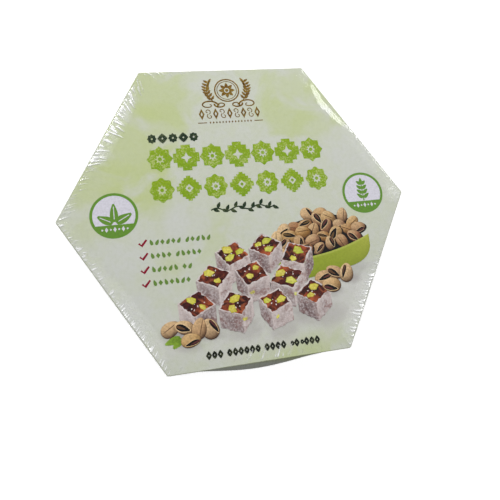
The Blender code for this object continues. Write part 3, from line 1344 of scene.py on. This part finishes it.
def print_bowl():
    """Prints the green bowl, with its heap of nuts."""
    settings = bpy.context.scene.carton_sweets
    sheet = Print("printed_bowl")
    ink = printed_ink("shell_ink", grain=0.16)
    glaze = printed_ink("glaze_ink", grain=0.05)
    chance = random.Random(7)
    begin, length = BACKING
    reach = [begin + length * share for share in shares(BACKING_STEPS)]
    upper = [
        place_of(*beside_bowl(BOWL_HALF * along, heap_top(along) - 4.2)) for along in reach
    ]
    lower = [bowl_point(along, 0.3) for along in reach]
    sheet.strip([upper, lower], settings.gap[:], ink)
    for spot, row, index, inside in heap_places(chance):
        length = settings.nut * chance.uniform(0.86, 1.10)
        turn = chance.uniform(0, tau)
        level = 1 + 2 * row + index % 2
        nut = (place_of(*spot), length, turn, level)
        draw_nut(sheet, ink, settings, *nut, chance, open_share=0.55, shaded=inside)
    begin, length = GLAZE
    rows, tints = [], []
    for down in GLAZE_ROWS:
        rows.append([bowl_point(begin + length * share, down) for share in shares(GLAZE_STEPS)])
        row = []
        for share in shares(GLAZE_STEPS):
            glow = (0.1 + 0.9 * share**4) * (1 - 0.4 * down)
            tint = toward(settings.bowl[:], settings.bowl_light[:], glow)
            if down < RIM_ROWS:
                tint = toward(tint, paint("B7BE5C"), 0.55)
            row.append(toward(tint, paint("6F7A1E"), 0.45 * down**3))
        tints.append(row)
    sheet.plate(rows, tints, glaze, level=18)
    sheet.lay()


LOOSE_NUTS = (  # place in millimetres, turn in degrees, level of the overprint
    (33.4, -37.2, 20, 23), (38.8, -34.9, 150, 24), (44.2, -35.9, 78, 25),
    (36.2, -40.6, 172, 26), (-36.9, -50.6, 30, 28), (-31.2, -50.6, 160, 29),
    (-25.0, -51.9, 76, 31), (-20.4, -52.6, 108, 30), (-28.9, -56.2, 6, 32),
)
LEAF_ROOT = (-32.4, -54.4)
LOOSE_LEAVES = ((196, 8.4, 26.5), (226, 6.5, 27))  # angle, length, level of the overprint


def print_loose_nuts():
    """Prints the nuts that lie beside the cubes, and the leaves under them."""
    settings = bpy.context.scene.carton_sweets
    sheet = Print("printed_nuts")
    ink = printed_ink("loose_shell_ink", grain=0.16)
    chance = random.Random(23)
    root, green, bright = place_of(*LEAF_ROOT), paint("66861F"), paint("92B53C")
    for degrees, length, level in LOOSE_LEAVES:
        angle = radians(degrees)
        sheet.leaf(root, angle, length * MM, 3.6 * MM, green, ink, level=level, tip=bright)
    for x, y, degrees, level in LOOSE_NUTS:
        length, turn = settings.nut * chance.uniform(1.05, 1.22), radians(degrees)
        nut = (place_of(x, y), length, turn, level)
        draw_nut(sheet, ink, settings, *nut, chance, open_share=0.6, shaded=False)
    sheet.lay()


# ---------------------------------------------------------------- film


class Crinkle:
    """How the film is gathered along one edge of the lid.

    Pitch, width, slope, reach and rim are a pleat's spacing, lit side, steepness, length over the
    lid and distance from the edge, and swell is how far the film stands off, in millimetres.
    Strength, lean, tent and haze are (place, share) pairs along the edge: how strong the pleats
    are, how far they slant, where the film stands off, and where it is clouded white, partly as
    painted sheen.
    """

    def __init__(self, pitch, width, slope, reach, rim, swell, strength, lean, tent, haze):
        self.pitch, self.width, self.reach = pitch * MM, width * MM, reach * MM
        self.rim, self.swell, self.slope = rim * MM, swell * MM, slope
        self.strength, self.lean, self.tent, self.haze = strength, lean, tent, haze


CRINKLES = (  # one for each wall, anticlockwise, its pairs from the wall's first corner
    Crinkle(
        pitch=1.1, width=0.44, slope=0.22, reach=1.7, rim=0.65, swell=0.34,
        strength=((0, 0.6), (0.06, 0.6), (0.45, 0.8), (0.58, 0.5), (0.66, 0), (0.97, 0), (1, 0.5)),
        lean=((0, 0.3), (1, 0.3)),
        tent=(
            (0, 0), (0.46, 0), (0.56, 0.30), (0.66, 0.75), (0.76, 0.95), (0.83, 0.5), (0.9, 0),
            (1, 0),
        ),
        haze=((0, 1.3), (0.07, 0.3), (0.45, 0.2), (0.6, 0.08), (0.85, 0.04), (0.93, 0), (1, 0.1)),
    ),
    Crinkle(
        pitch=1.2, width=0.42, slope=0.24, reach=2.8, rim=0.4, swell=0.05,
        strength=((0, 0.5), (0.03, 0), (0.66, 0), (0.75, 0.6), (0.82, 0.9), (1, 1)),
        lean=((0, 0), (0.7, 0.2), (1, 1.2)),
        tent=((0, 0), (1, 0)),
        haze=((0, 0.1), (0.05, 0), (0.75, 0), (0.9, 0.03), (1, 0.06)),
    ),
    Crinkle(
        pitch=1.35, width=0.76, slope=0.34, reach=6.6, rim=0.95, swell=0.16,
        strength=(
            (0, 0.8), (0.1, 0.8), (0.22, 1), (0.62, 1), (0.67, 0.6), (0.8, 0.4), (0.92, 0.4),
            (1, 0.8),
        ),
        lean=((0, -1.2), (0.1, -0.9), (0.3, -0.1), (0.5, 0.1), (0.62, 0.9), (0.75, 1.1), (1, 0.9)),
        tent=((0, 0.2), (0.12, 0.7), (0.57, 1), (0.65, 0), (1, 0)),
        haze=(
            (0, 0.1), (0.1, 0.2), (0.25, 0.9), (0.4, 1), (0.55, 0.85), (0.66, 0.12), (0.8, 0.04),
            (1, 0.1),
        ),
    ),
    Crinkle(
        pitch=0.95, width=0.54, slope=0.22, reach=3.1, rim=0.6, swell=0.06,
        strength=((0, 1), (0.1, 0.9), (0.5, 1), (0.88, 1), (1, 0.7)),
        lean=((0, 0.4), (0.1, 0), (1, 0)),
        tent=((0, 0.2), (0.5, 0.4), (1, 0.3)),
        haze=((0, 0.25), (0.1, 0.12), (0.4, 0.3), (0.55, 0.95), (0.78, 1), (0.88, 0.5), (1, 0.1)),
    ),
    Crinkle(
        pitch=2.3, width=0.42, slope=0.20, reach=6.6, rim=1.1, swell=0.06,
        strength=(
            (0, 0.4), (0.06, 0), (0.30, 0), (0.36, 0.8), (0.6, 1), (0.66, 0.1), (0.72, 0.3),
            (0.84, 0.3), (0.9, 0), (1, 0.5),
        ),
        lean=((0, -0.9), (1, -0.9)),
        tent=((0, 0.2), (1, 0.2)),
        haze=((0, 0.1), (0.1, 0), (0.66, 0), (0.72, 0.1), (0.84, 0.1), (0.9, 0), (1, 0.1)),
    ),
    Crinkle(
        pitch=1.15, width=0.74, slope=0.24, reach=3.4, rim=0.62, swell=0.10,
        strength=((0, 0.6), (0.08, 1), (0.42, 1), (0.6, 0.5), (0.7, 0), (0.94, 0), (1, 0.4)),
        lean=((0, 0.8), (0.8, 0.8), (1, 0)),
        tent=((0, 0.6), (0.4, 0.4), (0.6, 0), (1, 0)),
        haze=(
            (0, 0.6), (0.12, 1), (0.32, 0.8), (0.5, 0.25), (0.6, 0.05), (0.8, 0), (0.93, 0),
            (1, 1.3),
        ),
    ),
)
TOP_REACH = 19 * MM  # the fine rings over the lid and under the base end this far from the edge
UNDER_REACH = 14 * MM
TOP_RINGS = 25
TURN_RINGS = 5
WALL_RINGS = 12
UNDER_RINGS = 4
CORNER_COLUMNS = 6
CORNER_RADIUS = 1.0 * MM
QUARTER_TURN = pi / 2
ON_TOP = 1.5  # rings turned less than this from facing up lie over the lid
UNDER = 1.7  # and rings turned more than this lie under the base
PLEAT_REACHES = (0.4, 0.65, 0.9, 1.0, 1.25)  # shares of a wall's reach that its pleats draw from
PLEAT_STARTS = (0.0, 0.0, 0.25)
BLUNTNESS = 0.25
TENT_SINK = 8.5 * MM  # a tent sinks back over this distance
RIB_PLACE = 0.52  # how far down the wall, as a share of its height
RIB_HEIGHT = 0.24 * MM
RIB_WIDTH = 0.5 * MM
MOST_SHIFT = 0.26 * MM  # the most that a crease pushes the film sideways
TOP_ROOM = 0.02 * MM  # left free under the plain film's top
GRAIN_STEP = 1.31  # wall lengths between the noise of one wall's pleats and of the next


def at(*places):
    """Several distances, given in millimetres."""
    return [place * MM for place in places]


def front_bulge(heights):
    """How far the front wall's middle stands out at each height."""
    depths = (LID_TOP - heights) / CARTON_HEIGHT
    return FRONT_BOW * np.maximum(0.0, np.sin(pi * depths / BOW_REACH))


def film_rings(settings):
    """Rings from the lid's middle down and under: (offset from the wall, height, facing, path).

    Facing turns from 0, up, to pi, down, and path is the distance over the edge, negative on top.
    """
    gap, radius = settings.stand_off, settings.edge_radius
    top, bottom = LID_TOP + settings.top_gap, CARTON_FOOT - gap
    wall = top - bottom - 2 * radius
    half_edge = radius * QUARTER_TURN / 2
    rings = []

    def turn_edge(first, height, before):
        for share in shares(TURN_RINGS):
            turn = QUARTER_TURN * (first + share)
            offset = gap - radius + radius * sin(turn)
            rings.append((offset, height + radius * cos(turn), turn, before + radius * turn))

    for share in shares(TOP_RINGS)[:-1]:
        inward = TOP_REACH * (1 - share) ** 1.6
        rings.append((gap - radius - inward, top, 0.0, -inward - half_edge))
    turn_edge(0, top - radius, -half_edge)
    for share in shares(WALL_RINGS)[1:-1]:
        down = wall * (1 - cos(pi * share)) / 2
        rings.append((gap, top - radius - down, QUARTER_TURN, down + half_edge))
    turn_edge(1, bottom + radius, wall - half_edge)
    for share in shares(UNDER_RINGS)[1:]:
        inward = UNDER_REACH * share**1.4
        rings.append((gap - radius - inward, bottom, pi, wall + 3 * half_edge + inward))
    return rings


def film_columns(settings):
    """Columns round the film: (wall, place along it from 0 to 1, turn from the wall's facing)."""
    columns = []
    for wall in range(WALLS):
        columns += [(wall, share, 0.0) for share in shares(settings.columns)]
        columns += [(wall, 1.0, WALL_TURN * share) for share in shares(CORNER_COLUMNS)[1:-1]]
    return columns


def along_edge(pairs, place):
    """A share read between (place, share) pairs."""
    places, shares = zip(*pairs)
    return np.interp(place, places, shares)


def pleat_side(drift, lit, dark):
    """Height of a pleat across its crest, 1 at the crest: a lit side, a dark side, a blunt top."""
    across = np.where(drift > 0, drift / lit, -drift / dark)
    foot = sqrt(1 + BLUNTNESS**2)
    return np.clip((foot - np.sqrt(across**2 + BLUNTNESS**2)) / (foot - BLUNTNESS), 0, 1)


def gather(crinkle, place, path, chance):
    """One wall's pleats over a grid of places along the edge and paths over it.

    Gives how far the film is raised, and how sharply it is folded, from 0 to 1.
    """
    first, width = place.min(), place.max() - place.min()
    inside, outside = np.minimum(path, 0), np.maximum(path, 0)
    raised, folded = np.zeros(path.shape), np.zeros(path.shape)
    where = first - crinkle.pitch
    while where < first + width + crinkle.pitch:
        where += crinkle.pitch * chance.uniform(0.35, 1.65)
        share = (where - first) / width
        force = along_edge(crinkle.strength, share)
        reach = crinkle.reach * (0.4 + 0.6 * force)
        reach *= chance.choice(PLEAT_REACHES) * chance.uniform(0.8, 1.15)
        starts = chance.choice(PLEAT_STARTS) * reach
        fall = chance.uniform(3, 12) * MM
        lean = along_edge(crinkle.lean, share) + chance.uniform(-0.3, 0.3)
        lit = crinkle.width * chance.uniform(0.55, 1.35) * (0.45 + 0.55 * force)
        dark = lit * chance.uniform(0.5, 1.3)
        slope = crinkle.slope * chance.uniform(0.75, 1.25)

        inward = np.clip(-path / reach, 0, 1)
        drift = place - where - lean * inside * (1 - 0.3 * inward) + 0.1 * lean * outside
        taper = 1 - inward**1.3
        narrow = 0.15 + 0.85 * taper
        profile = pleat_side(drift, lit * narrow, dark * narrow)
        begins = 1 / (1 + np.exp((path + starts + crinkle.rim + 0.15 * MM) / (0.12 * MM)))
        over_lid = begins * np.minimum(1, 6 * taper)
        down_wall = np.exp(-outside / fall) * 0.25 * (1 - np.exp(-outside / (1.0 * MM)))
        run = np.where(path < 0, over_lid, down_wall)
        raised = np.maximum(raised, slope * lit * narrow * profile * run)
        sharp = np.minimum(1, 2.2 * profile) * (0.08 + 0.92 * force)
        folded = np.maximum(folded, sharp * run)
    return raised, folded


def tented(crinkle, place, path):
    """How far the film stands off along the edge: it climbs from the edge and sinks inward."""
    share = (place - place.min()) / (place.max() - place.min())
    winding = place / (0.52 * MM) + 2 * np.sin(place / (4.1 * MM))
    ragged = 0.5 * np.sin(place / (1.3 * MM)) + 0.5 * np.sin(winding)
    stand = along_edge(crinkle.tent, share)
    foot = (0.6 + 2.1 * stand) * MM
    crest = (2.4 + 3.6 * stand + 0.8 * ragged * stand) * MM
    climb = np.clip((-path - foot) / (crest - foot), 0, 1)
    sink = np.clip((crest + TENT_SINK + path) / TENT_SINK, 0, 1)
    return stand * crinkle.swell * climb * sink**1.5


def sealed_rib(place, path):
    """The welded seam half-way down the walls: a low, uneven rib."""
    wander = 0.5 * MM * np.sin(place / (9 * MM)) + 0.25 * MM * np.sin(place / (3.1 * MM))
    apart = path - CARTON_HEIGHT * RIB_PLACE - wander
    return RIB_HEIGHT * np.exp(-((apart / RIB_WIDTH) ** 2))


def film_surface(settings):
    """The film as grids of ring by column: its points, and what its material reads off each.

    Those are the place in its pleats, and how much it is creased and clouded.
    """
    rings = (np.array(values)[:, None] for values in zip(*film_rings(settings)))
    offsets, heights, facings, paths = rings
    walls, alongs, turns = (np.array(values) for values in zip(*film_columns(settings)))
    grid = (len(heights), len(walls))
    points, pleats = np.zeros((*grid, 3)), np.zeros((*grid, 3))
    creases, hazes = np.zeros(grid), np.zeros(grid)

    on_wall = (facings > ON_TOP) & (facings < UNDER)
    bulges = np.where(facings > UNDER, 0.0, front_bulge(heights))
    closer = (settings.top_gap - settings.edge_gap) * np.interp(-paths, at(3, 8), (1, 0))
    drawn_down = np.where(facings < ON_TOP, closer * np.cos(facings), 0)
    cloudy = np.interp(-paths, at(0.8, 1.5, 4.5, 8.0), (0, 1, 0.8, 0))
    to_last = np.arange(grid[0])[::-1, None]
    fading = np.clip(to_last / UNDER_RINGS, 0, 1)
    chance = random.Random(5)
    for wall, crinkle in enumerate(CRINKLES):
        chosen = walls == wall
        share, turn = alongs[None, chosen], turns[None, chosen]
        facing = FIRST_FACING + WALL_TURN * wall
        to_centre = APOTHEM + offsets - CORNER_RADIUS
        side = to_centre / sqrt(3) * (2 * share - 1) + CORNER_RADIUS * np.sin(turn)
        out = to_centre + CORNER_RADIUS * np.cos(turn)
        if wall == FRONT_WALL:
            out = out + bulges * np.sin(pi * share) ** BOW_POWER
        place = np.broadcast_to(share * SIDE + turn * CORNER_RADIUS, out.shape)
        path = np.broadcast_to(paths, out.shape)

        raised, folded = gather(crinkle, place, path, chance)
        creases[:, chosen] = folded
        hazes[:, chosen] = cloudy * along_edge(crinkle.haze, share)
        to_corner = np.minimum(share, 1 - share)
        flat_corner = np.minimum(1.0, 0.4 + to_corner / 0.02)
        taut = np.minimum(1.0, 0.2 + to_corner / 0.18)
        swelling = tented(crinkle, place, path)
        calmed = raised * (1 - 0.6 * swelling / (0.5 * MM))
        raised = np.where(path < 0, calmed + swelling, raised)
        raised = raised + np.where(on_wall, sealed_rib(place + wall * SIDE, path), 0.0)
        raised = raised * flat_corner * fading

        shift = np.minimum(raised, MOST_SHIFT) * np.sin(facings)
        across, back = cos(facing), sin(facing)
        points[:, chosen, 0] = out * across - side * back + shift * np.cos(facing + turn)
        points[:, chosen, 1] = out * back + side * across + shift * np.sin(facing + turn)
        points[:, chosen, 2] = heights - drawn_down * taut + raised * np.cos(facings)
        slant = along_edge(crinkle.lean, share) * np.minimum(path, 0)
        pleats[:, chosen, 0] = place - slant + wall * SIDE * GRAIN_STEP
        pleats[:, chosen, 1] = path
        pleats[:, chosen, 2] = wall * 0.05
    points[:, :, 2] = np.clip(points[:, :, 2], FILM_LOW.z, FILM_HIGH.z - TOP_ROOM)
    return points, pleats, creases, hazes


def wrap_film():
    """Makes the crinkled film round the carton, in place of the plain skin."""
    settings = bpy.context.scene.carton_film
    points, pleats, creases, hazes = film_surface(settings)
    index = np.arange(creases.size).reshape(creases.shape)
    following = np.roll(index, -1, axis=1)
    quads = np.stack([index[:-1], index[1:], following[1:], following[:-1]], axis=-1)
    faces = quads.reshape(-1, 4).tolist()
    faces += [index[0].tolist(), index[-1][::-1].tolist()]
    mesh = bpy.data.meshes.new("crinkled_film")
    mesh.from_pydata(points.reshape(-1, 3).tolist(), [], faces)
    for name, kind, key, values in (
        ("pleat", "FLOAT_VECTOR", "vector", pleats),
        ("crease", "FLOAT", "value", creases),
        ("haze", "FLOAT", "value", hazes),
    ):
        mesh.attributes.new(name, kind, "POINT").data.foreach_set(key, values.reshape(-1))
    mesh.shade_smooth()
    mesh.materials.append(clear_film(settings))
    film = put("crinkled_film", mesh)
    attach(film, "root")
    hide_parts("shrink_film")


# ---------------------------------------------------------------- stage


LAMP_DISTANCE = 0.80
SOFTBOXES = (  # name, heading from +X and elevation in degrees, width, height, radiance
    ("window_back", 84, 32, 0.36, 0.28, 7.8),
    ("window_left", 128, 37, 0.28, 0.24, 10.0),
    ("window_right", 42, 39, 0.32, 0.22, 8.0),
    ("lamp_left", 203, 48, 0.22, 0.20, 11.0),
    ("lamp_right", -6, 43, 0.20, 0.16, 10.0),
    ("lamp_front", -75, 56, 0.16, 0.14, 6.0),
)
FLOOR_SIZE = 4.0
FLOOR_SHADE = 0.985  # the darkest of the floor's blotches, as a share of its colour
SENSOR_WIDTH = 36
NEAREST_SEEN = 0.01
WHITE = (1.0, 1.0, 1.0, 1.0)


def hang_softbox(name, heading, elevation, width, height, radiance):
    """A soft rectangular lamp that shines at the lid's middle."""
    elevation = radians(elevation)
    across, back = around(cos(elevation), radians(heading))
    away = Vector((across, back, sin(elevation)))
    lamp = bpy.data.lights.new(name, "AREA")
    lamp.shape = "RECTANGLE"
    lamp.size = width
    lamp.size_y = height
    lamp.energy = radiance * pi * width * height
    hung = put(name, lamp)
    hung.location = Vector((0, 0, LID_TOP)) + away * LAMP_DISTANCE
    hung.rotation_euler = (-away).to_track_quat("-Z", "Y").to_euler()


def set_camera(settings):
    """Stands the camera over the lid, looking at its aim, rolled from the print's upright."""
    middle = Vector((0, 0, LID_TOP))
    place = middle + Vector(settings.stand)
    forward = (middle + Vector(settings.aim) - place).normalized()
    right = forward.cross(Vector((0, 1, 0))).normalized()
    axes = Matrix((right, right.cross(forward), -forward)).transposed()
    turned_axes = axes @ Matrix.Rotation(settings.roll, 3, "Z")
    lens = bpy.data.cameras.new("camera")
    lens.lens = settings.lens
    lens.sensor_width = SENSOR_WIDTH
    lens.clip_start = NEAREST_SEEN
    camera = put("camera", lens)
    camera.matrix_world = Matrix.Translation(place) @ turned_axes.to_4x4()
    bpy.context.scene.camera = camera


def lay_floor(settings):
    """Lays a plain pale floor that lights itself and sends no light on to the pack."""
    bpy.ops.mesh.primitive_plane_add(size=FLOOR_SIZE, location=(0, 0, FILM_LOW.z))
    floor = bpy.context.object
    floor.name = "floor"
    finish = Finish("floor", roughness=0.9, specular=0.0)
    darker = tuple(value * FLOOR_SHADE for value in settings.floor)
    finish.colour(finish.blend(finish.noise(0.2, detail=2), settings.floor, darker))
    finish.surface.inputs["Emission Color"].default_value = WHITE
    finish.surface.inputs["Emission Strength"].default_value = settings.floor_glow
    floor.data.materials.append(finish.material)
    floor.visible_diffuse = False
    floor.visible_glossy = False


def set_stage():
    """Lays the floor, hangs the soft lamps and stands the camera."""
    scene = bpy.context.scene
    settings = scene.carton_stage
    lay_floor(settings)
    scene.world = bpy.data.worlds.new("studio")
    scene.world.use_nodes = True
    sky = scene.world.node_tree.nodes["Background"]
    sky.inputs["Color"].default_value = WHITE
    sky.inputs["Strength"].default_value = settings.sky
    scene.view_settings.view_transform = "Standard"
    for softbox in SOFTBOXES:
        hang_softbox(*softbox)
    set_camera(settings)


# ---------------------------------------------------------------- add-on


class CARTON_OT_card(bpy.types.Operator):
    """Give the lid its painted wash and the base its plain card"""

    bl_idname = "carton.card"
    bl_label = "Dress Card"

    def execute(self, context):
        dress_card()
        return {"FINISHED"}


class CARTON_OT_title(bpy.types.Operator):
    """Print the two rows of tile ornaments, the small stars and the vine"""

    bl_idname = "carton.title"
    bl_label = "Print Title Tiles"

    def execute(self, context):
        print_title()
        return {"FINISHED"}


class CARTON_OT_badges(bpy.types.Operator):
    """Print the two round badges"""

    bl_idname = "carton.badges"
    bl_label = "Print Badges"

    def execute(self, context):
        print_badges()
        return {"FINISHED"}


class CARTON_OT_rosette(bpy.types.Operator):
    """Stamp the gold rosette and its sprays"""

    bl_idname = "carton.rosette"
    bl_label = "Stamp Gold Rosette"

    def execute(self, context):
        print_rosette()
        return {"FINISHED"}


class CARTON_OT_list(bpy.types.Operator):
    """Print the check marks, the leaf rows and the foot line"""

    bl_idname = "carton.list"
    bl_label = "Print List and Foot Line"

    def execute(self, context):
        print_list()
        print_foot_line()
        return {"FINISHED"}


class CARTON_OT_sweets(bpy.types.Operator):
    """Print the cubes, the bowl of nuts and the loose nuts"""

    bl_idname = "carton.sweets"
    bl_label = "Print Sweets and Nuts"

    def execute(self, context):
        print_bowl()
        print_sweets()
        print_loose_nuts()
        return {"FINISHED"}


class CARTON_OT_film(bpy.types.Operator):
    """Wrap the carton in crinkled shrink film"""

    bl_idname = "carton.film"
    bl_label = "Wrap in Film"

    def execute(self, context):
        wrap_film()
        return {"FINISHED"}


class CARTON_OT_stage(bpy.types.Operator):
    """Lay the floor, hang the lamps and stand the camera"""

    bl_idname = "carton.stage"
    bl_label = "Set Stage"

    def execute(self, context):
        set_stage()
        return {"FINISHED"}


OPERATORS = (
    CARTON_OT_card, CARTON_OT_title, CARTON_OT_badges, CARTON_OT_rosette,
    CARTON_OT_list, CARTON_OT_sweets, CARTON_OT_film, CARTON_OT_stage,
)


class CARTON_PT_panel(bpy.types.Panel):
    """Lists the carton's steps and settings"""

    bl_idname = "CARTON_PT_panel"
    bl_label = "Sweets Carton"
    bl_space_type = "VIEW_3D"
    bl_region_type = "UI"
    bl_category = "Sweets Carton"

    def draw(self, context):
        for operator in OPERATORS:
            self.layout.operator(operator.bl_idname)
        for name in SETTINGS:
            settings = getattr(context.scene, name)
            column = self.layout.column()
            for key in settings.bl_rna.properties.keys():
                if key not in ("rna_type", "name"):
                    column.prop(settings, key)


SETTINGS = {
    "carton_card": CardSettings,
    "carton_print": PrintSettings,
    "carton_sweets": SweetsSettings,
    "carton_film": FilmSettings,
    "carton_stage": StageSettings,
}
CLASSES = (*SETTINGS.values(), *OPERATORS, CARTON_PT_panel)


def register():
    for part in CLASSES:
        bpy.utils.register_class(part)
    for name, group in SETTINGS.items():
        setattr(bpy.types.Scene, name, PointerProperty(type=group))


def unregister():
    for name in SETTINGS:
        delattr(bpy.types.Scene, name)
    for part in reversed(CLASSES):
        bpy.utils.unregister_class(part)


def main():
    register()
    bpy.ops.carton.card()
    bpy.ops.carton.title()
    bpy.ops.carton.badges()
    bpy.ops.carton.rosette()
    bpy.ops.carton.list()
    bpy.ops.carton.sweets()
    bpy.ops.carton.film()
    bpy.ops.carton.stage()


if __name__ == "__main__":
    main()
